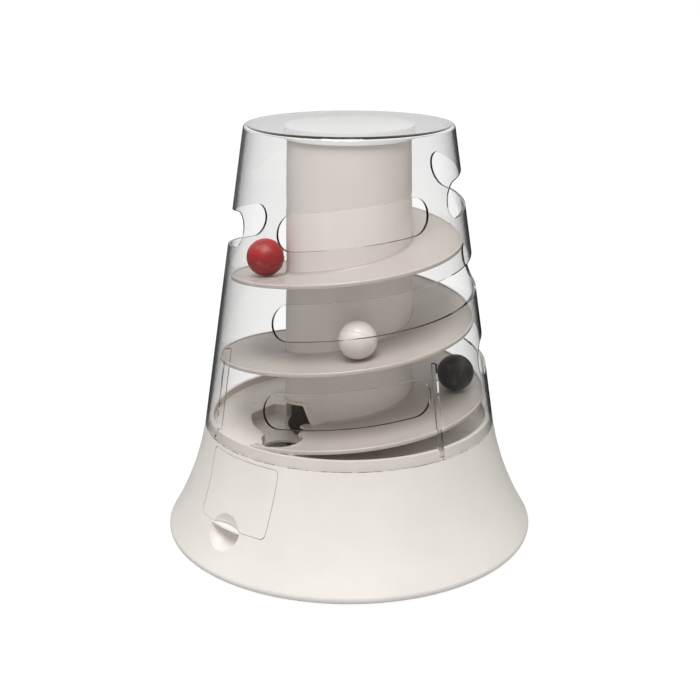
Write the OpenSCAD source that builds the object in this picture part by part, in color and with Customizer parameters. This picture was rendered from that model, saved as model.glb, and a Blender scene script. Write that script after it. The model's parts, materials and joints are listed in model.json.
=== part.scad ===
// Cat ball track toy: a flared base, a hollow column with a three-turn spiral track,
// a slotted clear cover, and a motor-driven screw that lifts the balls back to the top.
// Angles are measured in degrees from the front of the toy, positive to the right.
// The origin is on the floor below the middle of the base, with the front towards -Y.

/* [Base] */
// Widest radius of the base rim
base_r = 170; // [160:1:180]
// Height of the seam between base and clear cover
base_h = 105; // [100:1:112]
// Outer radius of the base at the seam
base_top_r = 133.2; // [130:0.1:136]
// Radius of the concave flare of the base
flare_r = 280; // [250:5:320]
// Radius of the rounded rim at the foot of the base
rim_r = 5; // [4:0.5:7]
// Wall of the base shell
shell_wall = 3; // [2.4:0.2:3.6]

/* [Hatch] */
// Direction of the hatch, the drop hole and the chute
outlet_angle = -44; // [-50:1:-38]
// Width of the hatch
hatch_w = 81; // [70:1:90]
// Height of the lower edge of the hatch
hatch_z = 43.3; // [38:1:48]
// Height of the hatch from its lower to its upper edge
hatch_h = 58; // [46:1:58]
// Corner radius of the hatch
hatch_corner_r = 4; // [2:0.5:8]
// Radius of the oval finger scoop where it meets the surface
scoop_r = 18.5; // [14:0.5:19]
// Depth of the finger pocket under the lower edge of the hatch
pocket_depth = 13; // [8:0.5:15]
// Depth of the shallow dent in the hatch
dent_depth = 6; // [4:0.5:7]

/* [Clear cover] */
// Height of the whole toy
overall_h = 375.7; // [370:0.5:382]
// Outer radius of the cover at its closed top
cover_top_r = 91.4; // [89:0.2:94]
// Wall of the clear cover
cover_wall = 2.6; // [2:0.2:3]
// Rounding of the top edge
cover_edge_r = 4; // [3:0.5:6]
// Height of a paw slot
slot_h = 31; // [26:1:33]
// Height of the lowest row of slots above the seam, at the front
slot_front_h = 52; // [50:0.5:55]
// Width of the ribs that drop into the seat ring
rib_w = 3; // [2:0.2:3.4]
// Depth of the ribs, from the wall inwards
rib_depth = 4.5; // [3:0.5:4.5]
// Height of the ribs above the seam
rib_h = 82; // [60:1:90]

/* [Deck] */
// Height of the seat ring above the seam
ring_h = 8.6; // [7:0.2:11]
// Thickness of the seat ring
ring_wall = 3.6; // [3:0.2:4.4]
// Depth of the recess in the deck
recess_depth = 8.5; // [7:0.5:10]
// Outer radius of the recess
recess_r = 91; // [88:1:94]
// Radius of the drop hole
drop_r = 17.5; // [17:0.5:18]
// Distance of the drop hole from the middle
drop_pos = 84; // [82:0.5:86]
// Thickness of the deck
deck_t = 2.5; // [2:0.1:3]

/* [Spiral track] */
// Height of the running surface above the deck, at the front of the lowest turn
track_front_h = 14.8; // [14:0.2:17]
// How far the lowest turn sags below an even slope
track_dip = 5.3; // [0:0.1:6]
// Room between the upper end of the running surface and the top of the cover
track_top_room = 78.8; // [76:0.2:84]
// Gap between the lower end of the track and the cover
track_low_gap = 2.2; // [2:0.1:3]
// Gap between the upper end of the track and the cover
track_high_gap = 4.5; // [2.5:0.1:6]
// Thickness of the track floor
track_t = 2.4; // [2:0.1:3]
// Height of the lip along the outer edge
lip_h = 1.3; // [1:0.1:2]
// Width of the lip
lip_w = 2; // [1.6:0.1:2.6]

/* [Column] */
// Outer radius of the column at its foot
column_foot_r = 60.6; // [60:0.1:61]
// Outer radius of the column at its top
column_top_r = 54.2; // [53.6:0.1:55]
// Wall of the column
column_wall = 2.5; // [2:0.1:3]
// Height of the cap on the column, with the gap above it
cap_h = 11.7; // [10:0.1:14]
// Overhang of the cap beyond the column
cap_overhang = 2.8; // [2:0.1:5]

/* [Balls] */
// Diameter of a ball
ball_d = 33; // [31:0.5:33.5]
// Wall of a hollow ball
ball_wall = 1.6; // [1.2:0.1:3]

/* [Lift screw] */
// Radius of the steel shaft
shaft_r = 4; // [3:0.5:5]
// Radius of the core of the screw
core_r = 15.5; // [12:0.5:16]
// Outer radius of the flight
flight_r = 36; // [34:0.5:37]
// Rise of the flight in one turn
flight_pitch = 40; // [38:1:46]
// Thickness of the flight
flight_t = 3; // [2:0.5:4]

/* [Drive] */
// Tooth size of the gears (pitch diameter divided by the teeth)
gear_module = 1.5; // [1.4:0.1:1.6]
// Thickness of the gears
gear_t = 7; // [6:0.5:8]
// Radius of the gear motor
motor_r = 18.5; // [16:0.5:20]
// Height of the gear motor
motor_h = 26; // [24:0.5:27]
// Radius of a battery cell
cell_r = 7.2; // [7:0.1:7.3]
// Length of a battery cell
cell_l = 50.5; // [49:0.5:51]

/* [Hidden] */
$fn = 96;

// clearances and overruns
overrun = 2;
slack = 0.4;
seat_gap = 0.3;
running_gap = 0.05;

// colours of the materials
white_shell = [0.93, 0.92, 0.90];
light_grey = [0.80, 0.79, 0.77];
clear_tint = [0.85, 0.88, 0.90, 0.3];
steel = [0.70, 0.71, 0.73];
brass_tone = [0.78, 0.62, 0.32];
black_tone = [0.12, 0.12, 0.12];

// floor clearance, base plate and feet
foot_h = 4;
foot_r = 11;
foot_in = 32;
foot_pos = base_r - foot_in;
foot_angles = [45, 135, 225, 315];
lift_off_floor = 1.5;
plate_t = 2.5;
plate_z = foot_h;
plate_top = plate_z + plate_t;

// the concave flare: a circle through the seam point that touches the rim circle from outside
rim_x = base_r - rim_r;
rim_z = lift_off_floor + rim_r;
chord = norm([base_top_r - rim_x, base_h - rim_z]);
to_rim = flare_r + rim_r;
along = (flare_r * flare_r - to_rim * to_rim + chord * chord) / (2 * chord);
across = sqrt(flare_r * flare_r - along * along);
chord_x = (rim_x - base_top_r) / chord;
chord_z = (rim_z - base_h) / chord;
flare_x = base_top_r + along * chord_x - across * chord_z;
flare_z = base_h + along * chord_z + across * chord_x;
touch_x = rim_x + rim_r * (flare_x - rim_x) / to_rim;
touch_z = rim_z + rim_r * (flare_z - rim_z) / to_rim;

// outer radius of the flare, and the radius of the cone of the cover, at a height
function flare_at(z) = flare_x - sqrt(flare_r * flare_r - (flare_z - z) * (flare_z - z));
function cover_at(z) = base_top_r + (cover_top_r - base_top_r) * (z - base_h) / (overall_h - base_h);

// a direction at an angle from the front, and a turn that brings +X onto it
function bearing(angle) = angle - 90;
function spot(angle, r) = [r * cos(bearing(angle)), r * sin(bearing(angle))];

// screws of the base plate, and their bosses in the shell
plate_screw_in = 19;
plate_screw_pos = base_r - plate_screw_in;
plate_screw_angles = [0, 60, 120, 180, 240, 300];
boss_r = 4.5;
boss_h = 34;
screw_r = 1.5;
screw_hole_r = 1.8;
pilot_r = 1.6;
screw_head_r = 3.2;
screw_head_h = 1.8;
screw_l = 12;

// ledge in the shell that carries the deck
ledge_drop = 6;
ledge_z = base_h - ledge_drop;
ledge_t = 2.5;
ledge_w = 7;

// collar behind the hatch opening
collar_t = 2;
collar_in = 13.2;
collar_reach = base_top_r - collar_in;
hatch_gap = 0.35;
hatch_skirt_t = 1.6;
hatch_skirt_inset = 1;
hatch_mid_z = hatch_z + hatch_h / 2;
scoop_shift = -3;
scoop_wall = 2;
sill_t = 1.4;
function sphere_r(opening, depth) = (opening * opening + depth * depth) / (2 * depth);

// power button at the back
button_angle = 180;
button_z = 72;
button_r = 8;
button_gap = 0.1;
button_stand = 1.8;
button_l = 12;
button_guide_r = 10.5;
button_flange_r = 9.2;
button_flange_t = 1.5;
guide_l = 12;

// deck
deck_rise = 2;
deck_top = base_h + deck_rise;
ring_top = base_h + ring_h;
deck_gap = 0.4;
notch_gap = 1.6;
notch_rise = 1;
rib_foot_rise = 1.5;
recess_from_angle = -110;
recess_corner_angle = -128;
recess_corner_pos = 72;
recess_z = deck_top - recess_depth;
recess_wall = 2;
recess_round = 1.5;
catch_angle = -34.3;
catch_in = 3.7;
catch_play = 0.5;
deck_screw_angles = [15, 105, 195, 285];
deck_boss_r = 3.4;
ledge_tab_r = 5;
deck_boss_h = 6;

// cover ribs and slots: each slot's start and end, as angles that run on from turn to turn
rib_angles = [-64, 37.5, 167];
slot_angles = [[-35, 33.5], [68, 128], [326, 465], [589, 661], [685, 760], [775, 848]];
slot_step_angle = 6;
slot_end_steps = 7;
slot_margin = 12;
slot_front_z = base_h + slot_front_h;
slot_pitch_share = 0.27152;
slot_pitch = slot_pitch_share * (overall_h - base_h);

// spiral track, its seams between mouldings, and the deck end cut round the drop hole
track_start_angle = -42;
track_end_angle = 920;
track_dip_angle = 520;
seam_angles = [308, 668];
track_step_angle = 5;
seam_gap = 0.3;
column_gap = 0.2;
end_wall_t = 2;
track_cut = 1;
end_wall_h = 9;
peg_angles = [[20, 140, 260], [360, 480, 600], [700, 790, 880]];
peg_w = 5;
peg_t = 1.2;
peg_end = 0.5;
peg_gap = 0.3;
rib_slot_gap = 0.6;

track_front_z = deck_top + track_front_h;
track_end_z = overall_h - track_top_room;
track_pitch = (track_end_z - track_front_z) * 360 / track_end_angle;

// column
column_foot_z = 48.5;
column_top_z = overall_h - cap_h;
cap_r = column_top_r + cap_overhang;
floor_t = 2.5;
window_from_angle = -104;
window_to_angle = -30;
window_low_h = 12;
window_top_from = deck_top + window_low_h;
window_high_h = 24;
window_top_to = deck_top + window_high_h;
window_slant_share = 0.32;
entry_w = 38;
entry_rise = 4;
entry_z = column_foot_z + entry_rise;
entry_h = 39;
outlet_h = 40;
outlet_from_z = track_end_z;
outlet_w = 39;
track_outlet_angle = 185;
channel_angle = 70;
channel_play = 2.5;
channel_w = ball_d + channel_play;
channel_drop = 7;
channel_from_z = deck_top - channel_drop;
channel_stop = 5;
channel_to_z = outlet_from_z - channel_stop;
flight_play = 2.5;
channel_in_r = flight_r + flight_play;
channel_rib_t = 2.4;
lug_angles = [15, 165, 255];
lug_r = 5.5;
lug_pos = 67;
lug_t = 4;
lug_z = 62;
cap_edge_r = 1.5;
cap_t = 2.5;
cap_gap = 0.3;
cap_plug_h = 8;
cap_plug_t = 2;

// shaft, bushes and screw
shaft_rise = 2;
shaft_from_z = plate_top + shaft_rise;
shaft_drop = 8;
shaft_to_z = column_top_z - shaft_drop;
bush_r = 7;
bush_l = 10;
top_bush_l = 9;
boss_wall = 3;
hub_r = 9;
gear_drop = 4;
gear_z = column_foot_z - gear_drop - gear_t;
screw_rise = 1.5;
screw_from_z = column_foot_z + floor_t + screw_rise;
flight_rise = 4;
flight_from_z = screw_from_z + flight_rise;
flight_above = 25;
flight_to_z = outlet_from_z + flight_above;
screw_above = 8;
screw_to_z = flight_to_z + screw_above;
flight_step_angle = 15;
flight_bite = 1;

// gears
gear_teeth = 60;
pinion_teeth = 20;
gear_pitch_r = gear_module * gear_teeth / 2;
pinion_pitch_r = gear_module * pinion_teeth / 2;
addendum_share = 0.9;
dedendum_share = 1.2;
tip_share = 0.20;
pitch_share = 0.47;
root_share = 0.72;
web_t = 3;
rim_w = 5;

// motor
motor_angle = 90;
motor_pos = gear_pitch_r + pinion_pitch_r;
motor_shaft_r = 3;
motor_boss_r = 6;
motor_boss_h = 1.6;
motor_rise = 2;
motor_z = plate_top + motor_rise;
cradle_wall = 2.4;
cradle_h = 16;
cradle_ear_r = 5.5;
cradle_ear_reach = 4;
cradle_ear_pos = motor_r + cradle_wall + cradle_ear_reach;
cradle_ear_t = 3;

// batteries
cell_count = 4;
cell_gap = 0.4;
cell_pitch = 2 * cell_r + cell_gap;
box_wall = 1.8;
box_pos = 111;
contact_t = 0.5;
contact_w = 9;
contact_gap = 0.3;
contact_room = 1.4;
box_in_x = cell_l + 2 * contact_room;
box_play = 1;
box_in_y = cell_count * cell_pitch + box_play;
door_t = 1.6;
door_gap = 0.3;
door_lap = 3;
door_z = plate_z - door_gap - door_t;
cell_z = door_z + door_t + seat_gap + cell_r;
box_in_h = cell_z + cell_r + slack - plate_top;
rail_w = 3;
rail_lip = 2;
rail_lip_t = 0.9;

// control board behind the button
board_w = 46;
board_h = 30;
board_t = 1.6;
switch_w = 7;
switch_t = 4;
board_post_r = 3;
button_travel = 1.5;
button_face_y = flare_at(button_z) + button_stand;
button_back_y = button_face_y - button_l;
switch_gap = 0.2;
switch_face_y = button_back_y - button_travel - switch_gap;
board_y = switch_face_y - switch_t;

// balls: angle along the track, distance from the middle
red_angle = 647;
red_pos = 76.5;
white_angle = 365;
white_pos = 83;
black_angle = 81;
black_pos = 97.5;
ball_lift = 0.5;

// Track geometry

function track_sag(angle) =
    angle > 0 && angle < track_dip_angle ? track_dip * (1 - cos(360 * angle / track_dip_angle)) / 2 : 0;
function track_z(angle) = track_front_z + track_pitch * angle / 360 - track_sag(angle);
function track_r(angle) =
    cover_at(track_z(angle)) - cover_wall - track_low_gap
    - (track_high_gap - track_low_gap) * (angle - track_start_angle) / (track_end_angle - track_start_angle);
function column_at(z) =
    column_foot_r + (column_top_r - column_foot_r) * (z - column_foot_z) / (column_top_z - column_foot_z);

// the steps from one angle to another, both ends included
function steps(from, to, step) =
    let (count = ceil((to - from) / step))
    [for (i = [0:count]) from + (to - from) * i / count];

// a point on the radial plane at an angle
function on_plane(angle, r, z) = [r * cos(bearing(angle)), r * sin(bearing(angle)), z];

// a closed solid over a row of rings that have the same number of points
module skin(rings) {
    n = len(rings[0]);
    m = len(rings);
    points = [for (ring = rings) each ring];
    sides = [
        for (i = [0:m - 2], j = [0:n - 1])
        let (a = i * n + j, b = i * n + (j + 1) % n, c = a + n, d = b + n)
        each [[a, b, d], [a, d, c]]
    ];
    start_cap = [[for (j = [n - 1:-1:0]) j]];
    end_cap = [[for (j = [0:n - 1]) (m - 1) * n + j]];
    polyhedron(points = points, faces = concat(sides, start_cap, end_cap), convexity = 12);
}

// Turns the child's +X to a direction measured from the front
module face(angle) {
    rotate([0, 0, bearing(angle)]) children();
}

// Puts the child at a direction and distance from the middle
module place(angle, r, z = 0) {
    face(angle) translate([r, 0, z]) children();
}

module tube(outer, inner, from, to) {
    difference() {
        translate([0, 0, from]) cylinder(r = outer, h = to - from);
        translate([0, 0, from - overrun]) cylinder(r = inner, h = to - from + 2 * overrun);
    }
}

// A plate with rounded corners that stands on +X: width along Y, height along Z
module upright_plate(from_x, to_x, w, z, h, r) {
    depth = to_x - from_x;
    translate([from_x, -w / 2 + r, z]) cube([depth, w - 2 * r, h]);
    translate([from_x, -w / 2, z + r]) cube([depth, w, h - 2 * r]);
    for (side = [-1, 1], level = [z + r, z + h - r])
        translate([from_x, side * (w / 2 - r), level]) rotate([0, 90, 0]) cylinder(r = r, h = depth);
}

// Base

// the flared body below the seam, moved inwards by a wall
module flared_body(inset) {
    rim = rim_r - inset;
    circle_r = flare_r + inset;
    bottom = inset > 0 ? -overrun : lift_off_floor;
    top = inset > 0 ? base_h + overrun : base_h;
    top_x = flare_x - sqrt(circle_r * circle_r - (flare_z - top) * (flare_z - top));
    edge_x = rim_x + rim * (flare_x - rim_x) / to_rim;
    edge_z = rim_z + rim * (flare_z - rim_z) / to_rim;
    rotate_extrude() {
        difference() {
            polygon([[0, bottom], [rim_x, bottom], [rim_x, rim_z], [edge_x, edge_z], [top_x, top], [0, top]]);
            translate([flare_x, flare_z]) circle(r = circle_r, $fn = 360);
        }
        if (inset == 0) translate([rim_x, rim_z]) circle(r = rim);
    }
}

module shell_wall_solid() {
    difference() {
        flared_body(0);
        flared_body(shell_wall);
    }
}

module hatch_prism(grow, from_x, to_x) {
    face(outlet_angle)
        upright_plate(from_x, to_x, hatch_w + 2 * grow, hatch_z - grow, hatch_h + 2 * grow,
            hatch_corner_r + grow);
}

// the ball that presses a round scoop of a given depth into the surface
module scoop_ball(depth, grow) {
    r = sphere_r(scoop_r, depth);
    face(outlet_angle)
        translate([flare_at(hatch_z) + r - depth, scoop_shift, hatch_z])
        rotate([90, 0, 0])
        sphere(r = r + grow, $fn = 180);
}

module below(z) {
    translate([-base_r, -base_r, -overrun]) cube([2 * base_r, 2 * base_r, z + overrun]);
}

module finger_cup() {
    sill_z = hatch_z - hatch_gap;
    difference() {
        intersection() {
            scoop_ball(pocket_depth, scoop_wall);
            flared_body(0);
            below(sill_z);
        }
        intersection() {
            scoop_ball(pocket_depth, 0);
            below(sill_z - sill_t);
        }
    }
}

module hatch_collar() {
    intersection() {
        difference() {
            hatch_prism(hatch_gap + collar_t, collar_reach, base_r);
            hatch_prism(hatch_gap, collar_reach - overrun, base_r + overrun);
        }
        flared_body(0);
        below(ledge_z);
    }
}

module plate_bosses() {
    intersection() {
        for (angle = plate_screw_angles)
            place(angle, plate_screw_pos, plate_top) cylinder(r = boss_r, h = boss_h);
        flared_body(0);
    }
}

module ledge() {
    intersection() {
        tube(base_r, flare_at(ledge_z) - shell_wall - ledge_w, ledge_z - ledge_t, ledge_z);
        flared_body(0);
    }
    for (angle = deck_screw_angles)
        place(angle, deck_screw_r, ledge_z - ledge_t) cylinder(r = ledge_tab_r, h = ledge_t);
}

module button_guide() {
    place(button_angle, button_back_y + button_flange_t + seat_gap, button_z)
        rotate([0, 90, 0])
        cylinder(r = button_guide_r, h = guide_l);
}

module board_posts() {
    for (side = [-1, 1])
        translate([side * (board_w / 2 - board_post_r), board_y, button_z])
            rotate([-90, 0, 0]) cylinder(r = board_post_r, h = base_r - board_y);
}

module base_shell() {
    color(white_shell)
    difference() {
        union() {
            difference() {
                shell_wall_solid();
                scoop_ball(pocket_depth, 0);
            }
            finger_cup();
            difference() {
                union() {
                    hatch_collar();
                    ledge();
                }
                scoop_ball(pocket_depth, scoop_wall / 2);
            }
            plate_bosses();
            intersection() {
                union() {
                    button_guide();
                    board_posts();
                }
                flared_body(shell_wall / 2);
            }
        }
        hatch_prism(hatch_gap, collar_reach - overrun, base_r + overrun);
        for (angle = plate_screw_angles)
            place(angle, plate_screw_pos, plate_top - overrun) cylinder(r = pilot_r, h = screw_l);
        for (angle = deck_screw_angles)
            place(angle, deck_screw_r, ledge_z - ledge_t - overrun)
                cylinder(r = screw_hole_r, h = ledge_t + 2 * overrun);
        place(button_angle, button_back_y, button_z)
            rotate([0, 90, 0])
            cylinder(r = button_r + button_gap, h = base_r);
    }
}

module hatch_door() {
    color(white_shell)
    difference() {
        union() {
            difference() {
                intersection() {
                    shell_wall_solid();
                    hatch_prism(0, collar_reach, base_r);
                }
                scoop_ball(dent_depth, 0);
            }
            difference() {
                intersection() {
                    scoop_ball(dent_depth, scoop_wall);
                    flared_body(0);
                    hatch_prism(0, collar_reach, base_r);
                }
                scoop_ball(dent_depth, 0);
            }
            intersection() {
                difference() {
                    hatch_prism(-hatch_skirt_inset, collar_reach, base_r);
                    hatch_prism(-hatch_skirt_inset - hatch_skirt_t, collar_reach - overrun, base_r + overrun);
                }
                flared_body(shell_wall / 2);
                below(ledge_z - slack);
            }
        }
        scoop_ball(dent_depth, 0);
    }
}

// one of the two rails that the battery door slides in
module door_rail() {
    rail_x = box_in_x / 2 + door_lap + door_gap;
    rail_z = door_z - door_gap - rail_lip_t;
    rail_l = box_in_y + 2 * door_lap;
    translate([rail_x, box_pos - rail_l / 2, rail_z]) cube([rail_w, rail_l, plate_z - rail_z + plate_t / 2]);
    translate([rail_x - rail_lip, box_pos - rail_l / 2, rail_z]) cube([rail_lip + rail_w / 2, rail_l, rail_lip_t]);
}

module base_plate() {
    color(white_shell)
    difference() {
        union() {
            translate([0, 0, plate_z]) cylinder(r = rim_x - slack, h = plate_t);
            translate([0, 0, plate_z]) cylinder(r = bush_r + boss_wall, h = shaft_from_z + bush_l - plate_z);
            for (angle = lug_angles)
                place(angle, lug_pos, plate_z) cylinder(r = lug_r, h = lug_z - plate_z);
            for (side = [0, 1])
                mirror([side, 0, 0]) door_rail();
        }
        translate([0, 0, shaft_from_z - seat_gap]) cylinder(r = bush_r, h = bush_l + overrun);
        translate([-box_in_x / 2, box_pos - box_in_y / 2, plate_z - overrun])
            cube([box_in_x, box_in_y, plate_t + 2 * overrun]);
        for (angle = plate_screw_angles)
            place(angle, plate_screw_pos, plate_z - overrun) cylinder(r = screw_hole_r, h = plate_t + 2 * overrun);
        for (angle = lug_angles)
            place(angle, lug_pos, lug_z - screw_l) cylinder(r = pilot_r, h = screw_l + overrun);
        for (side = [-1, 1])
            place(motor_angle, motor_pos, plate_z - overrun)
                translate([0, side * cradle_ear_pos, 0]) cylinder(r = screw_hole_r, h = plate_t + 2 * overrun);
    }
}

module rubber_feet() {
    color(black_tone)
    for (angle = foot_angles)
        place(angle, foot_pos) cylinder(r = foot_r, h = foot_h);
}

// a screw that points up, with its head under the level z
module screw_up(z, length) {
    translate([0, 0, z - screw_head_h]) cylinder(r = screw_head_r, h = screw_head_h);
    translate([0, 0, z - screw_head_h / 2]) cylinder(r = screw_r, h = length + screw_head_h / 2);
}

// a screw that points down, with its head on the level z
module screw_down(z, length) {
    translate([0, 0, z]) cylinder(r = screw_head_r, h = screw_head_h);
    translate([0, 0, z - length]) cylinder(r = screw_r, h = length + screw_head_h / 2);
}

module base_screws() {
    color(steel)
    for (angle = plate_screw_angles)
        place(angle, plate_screw_pos) screw_up(plate_z, screw_l - overrun);
}

// Deck and chute

ring_foot_r = cover_at(base_h) - shell_wall - deck_gap;
ring_head_r = cover_at(ring_top) - cover_wall - deck_gap;
deck_screw_r = ring_foot_r - ring_wall - deck_boss_r;

// middles of the hole in the deck and of the catch, where a ball leaves the track and falls into the recess
drop_spot = spot(outlet_angle, drop_pos);
catch_pos = ring_foot_r - ring_wall - recess_wall - drop_r - catch_in;
catch_spot = spot(catch_angle, catch_pos);

// plan of the recess, grown by a wall: a ring sector beside the column, with one corner cut off,
// that runs into the drop hole, and a straight way from the catch to the hole
module recess_plan(grow) {
    side_angle = grow / column_foot_r * 180 / PI;
    from_angle = recess_from_angle - side_angle;
    to_angle = outlet_angle + side_angle;
    middle_angle = (from_angle + to_angle) / 2;
    way = catch_spot - drop_spot;
    across_way = (drop_r + grow) * [-way[1], way[0]] / norm(way);
    difference() {
        intersection() {
            circle(r = recess_r + grow);
            polygon([
                [0, 0], spot(from_angle, base_r),
                spot(middle_angle, base_r / cos((to_angle - from_angle) / 2)), spot(to_angle, base_r)
            ]);
        }
        rotate(bearing(recess_corner_angle))
            translate([recess_corner_pos + grow, -base_r])
            square([base_r, 2 * base_r]);
    }
    translate(drop_spot) circle(r = drop_r + recess_round + grow);
    translate(catch_spot) circle(r = drop_r + catch_play + grow);
    polygon([catch_spot + across_way, drop_spot + across_way, drop_spot - across_way, catch_spot - across_way]);
}

module deck() {
    color(light_grey)
    difference() {
        union() {
            // seat ring that the cover slips over
            rotate_extrude()
                polygon([
                    [ring_foot_r - ring_wall, ledge_z], [ring_foot_r, ledge_z], [ring_foot_r, base_h],
                    [ring_head_r, ring_top], [ring_head_r - ring_wall, ring_top], [ring_foot_r - ring_wall, base_h]
                ]);
            translate([0, 0, deck_top - deck_t]) cylinder(r = ring_foot_r - ring_wall / 2, h = deck_t);
            translate([0, 0, recess_z - deck_t]) linear_extrude(deck_top - recess_z + deck_t / 2)
                recess_plan(recess_wall);
            translate([0, 0, recess_z - deck_t])
                cylinder(r = column_at(recess_z) + deck_gap + recess_wall, h = deck_top - recess_z + deck_t / 2);
            for (angle = deck_screw_angles)
                place(angle, deck_screw_r, ledge_z) cylinder(r = deck_boss_r, h = deck_top - ledge_z - deck_t / 2);
        }
        translate([0, 0, recess_z]) linear_extrude(ring_h + recess_depth) recess_plan(0);
        place(outlet_angle, drop_pos, recess_z - deck_t - overrun)
            cylinder(r = drop_r, h = deck_t + 2 * overrun);
        translate([0, 0, recess_z - deck_t - overrun])
            cylinder(r1 = column_at(recess_z - deck_t - overrun) + deck_gap, r2 = column_at(ring_top) + deck_gap,
                h = ring_top - recess_z + deck_t + overrun);
        for (angle = rib_angles)
            place(angle, ring_head_r - rib_depth, base_h + notch_rise)
                translate([0, -rib_w / 2 - notch_gap, 0])
                cube([rib_depth + overrun + ring_wall, rib_w + 2 * notch_gap, ring_h + overrun]);
        for (angle = deck_screw_angles)
            place(angle, deck_screw_r, ledge_z - overrun) cylinder(r = pilot_r, h = deck_boss_h + overrun);
    }
}

module deck_screws() {
    color(steel)
    for (angle = deck_screw_angles)
        place(angle, deck_screw_r) screw_up(ledge_z - ledge_t, deck_boss_h + ledge_t - overrun / 2);
}

// chute under the drop hole: its floor falls towards the foot of the column
chute_play = 6;
chute_in_w = ball_d + chute_play;
chute_wall = 2.4;
chute_gap = 1.2;
chute_from = column_foot_r + chute_gap;
collar_gap = 1.5;
chute_to = collar_reach - collar_gap;
chute_sill = 1;
chute_low_z = entry_z + chute_sill;
chute_fall = 11;
chute_high_z = chute_low_z + chute_fall;
chute_top_gap = 1.5;
chute_wall_top = recess_z - deck_t - chute_top_gap;
chute_leg_t = 3;
chute_foot_w = 26;
chute_foot_in = 13;

// height of the chute's floor at a distance from the middle
function chute_floor(r) = chute_low_z + (chute_high_z - chute_low_z) * (r - chute_from) / (chute_to - chute_from);

// a slice of the chute, as wide as w, from a height above or below its floor to the top given for each end
module chute_slice(w, at, from_r, to_r, from_z, to_z, low_top, high_top) {
    rotate([90, 0, 0])
        translate([0, 0, at - w / 2])
        linear_extrude(w)
        polygon([[from_r, from_z], [to_r, to_z], [to_r, high_top], [from_r, low_top]]);
}

module ball_chute() {
    low = chute_low_z - chute_wall;
    high = chute_high_z - chute_wall;
    leg_from = chute_from + chute_foot_in;
    leg_to = chute_to - chute_foot_in;
    color(light_grey)
    face(outlet_angle) {
        chute_slice(chute_in_w + 2 * chute_wall, 0, chute_from, chute_to, low, high, chute_low_z, chute_high_z);
        for (side = [-1, 1])
            chute_slice(chute_wall, side * (chute_in_w + chute_wall) / 2, chute_from, chute_to, low, high,
                chute_wall_top, chute_wall_top);
        chute_slice(chute_leg_t, 0, leg_from, leg_to, plate_top, plate_top,
            chute_floor(leg_from) - chute_wall / 2, chute_floor(leg_to) - chute_wall / 2);
        translate([leg_from, -chute_foot_w / 2, plate_top])
            cube([leg_to - leg_from, chute_foot_w, chute_leg_t]);
    }
}

// Column

module column_solid(inset, from, to) {
    translate([0, 0, from]) cylinder(r1 = column_at(from) - inset, r2 = column_at(to) - inset, h = to - from);
}

// the window over the recess: a flat outline that is pushed straight through the wall
module window_cut() {
    middle = (window_from_angle + window_to_angle) / 2;
    half = column_foot_r * sin((window_to_angle - window_from_angle) / 2);
    face(middle)
        rotate([90, 0, 90])
        linear_extrude(column_foot_r + overrun)
        polygon([
            [-half, recess_z], [half, recess_z],
            [half, deck_top + lip_h],
            [half * (1 - window_slant_share), window_top_to],
            [-half, window_top_from]
        ]);
}

module channel_rib(side) {
    face(channel_angle)
        translate([channel_in_r, side * (channel_w + channel_rib_t) / 2 - channel_rib_t / 2, channel_from_z])
        cube([column_foot_r - channel_in_r, channel_rib_t, channel_to_z - channel_from_z]);
}

module column_tube() {
    color(light_grey)
    difference() {
        union() {
            difference() {
                column_solid(0, column_foot_z, column_top_z);
                column_solid(column_wall, column_foot_z - overrun, column_top_z + overrun);
            }
            intersection() {
                for (side = [-1, 1]) channel_rib(side);
                column_solid(column_wall / 2, column_foot_z, column_top_z);
            }
            difference() {
                for (angle = lug_angles) {
                    place(angle, lug_pos, lug_z) cylinder(r = lug_r, h = lug_t);
                    face(angle) translate([column_foot_r - column_wall, -lug_r, lug_z])
                        cube([lug_pos - column_foot_r + column_wall, 2 * lug_r, lug_t]);
                }
                column_solid(column_wall / 2, column_foot_z, column_top_z);
                for (angle = lug_angles)
                    place(angle, lug_pos, lug_z - overrun) cylinder(r = screw_hole_r, h = lug_t + 2 * overrun);
            }
        }
        window_cut();
        face(outlet_angle) translate([0, -entry_w / 2, entry_z]) cube([column_foot_r + overrun, entry_w, entry_h]);
        face(track_outlet_angle) translate([0, -outlet_w / 2, outlet_from_z])
            cube([column_foot_r + overrun, outlet_w, outlet_h]);
        for (angles = peg_angles) pegs(angles, peg_gap);
    }
}

module column_floor() {
    color(light_grey)
    difference() {
        translate([0, 0, column_foot_z])
            cylinder(r = column_at(column_foot_z + floor_t) - column_wall - slack / 2, h = floor_t);
        translate([0, 0, column_foot_z - overrun]) cylinder(r = shaft_r + slack, h = floor_t + 2 * overrun);
    }
}

module column_cap() {
    cap_top = overall_h - cover_wall - cap_gap;
    plug_r = column_at(column_top_z) - column_wall - slack / 4;
    boss_z = shaft_to_z - top_bush_l;
    color(white_shell)
    difference() {
        union() {
            difference() {
                union() {
                    rotate_extrude() {
                        inner_r = cap_r - cap_edge_r;
                        translate([0, column_top_z]) square([inner_r, cap_top - column_top_z]);
                        translate([0, column_top_z]) square([cap_r, cap_top - column_top_z - cap_edge_r]);
                        translate([inner_r, cap_top - cap_edge_r]) circle(r = cap_edge_r);
                    }
                    translate([0, 0, column_top_z - cap_plug_h]) cylinder(r = plug_r, h = cap_plug_h + cap_edge_r);
                }
                translate([0, 0, column_top_z - cap_plug_h - overrun])
                    cylinder(r = plug_r - cap_plug_t, h = cap_plug_h + overrun + cap_top - column_top_z - cap_t);
            }
            // the boss of the top bush
            translate([0, 0, boss_z]) cylinder(r = bush_r + boss_wall, h = cap_top - cap_t / 2 - boss_z);
        }
        translate([0, 0, boss_z - overrun]) cylinder(r = bush_r, h = top_bush_l + overrun);
        translate([0, 0, boss_z - overrun]) cylinder(r = shaft_r + slack, h = top_bush_l + 2 * overrun);
    }
}

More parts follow.
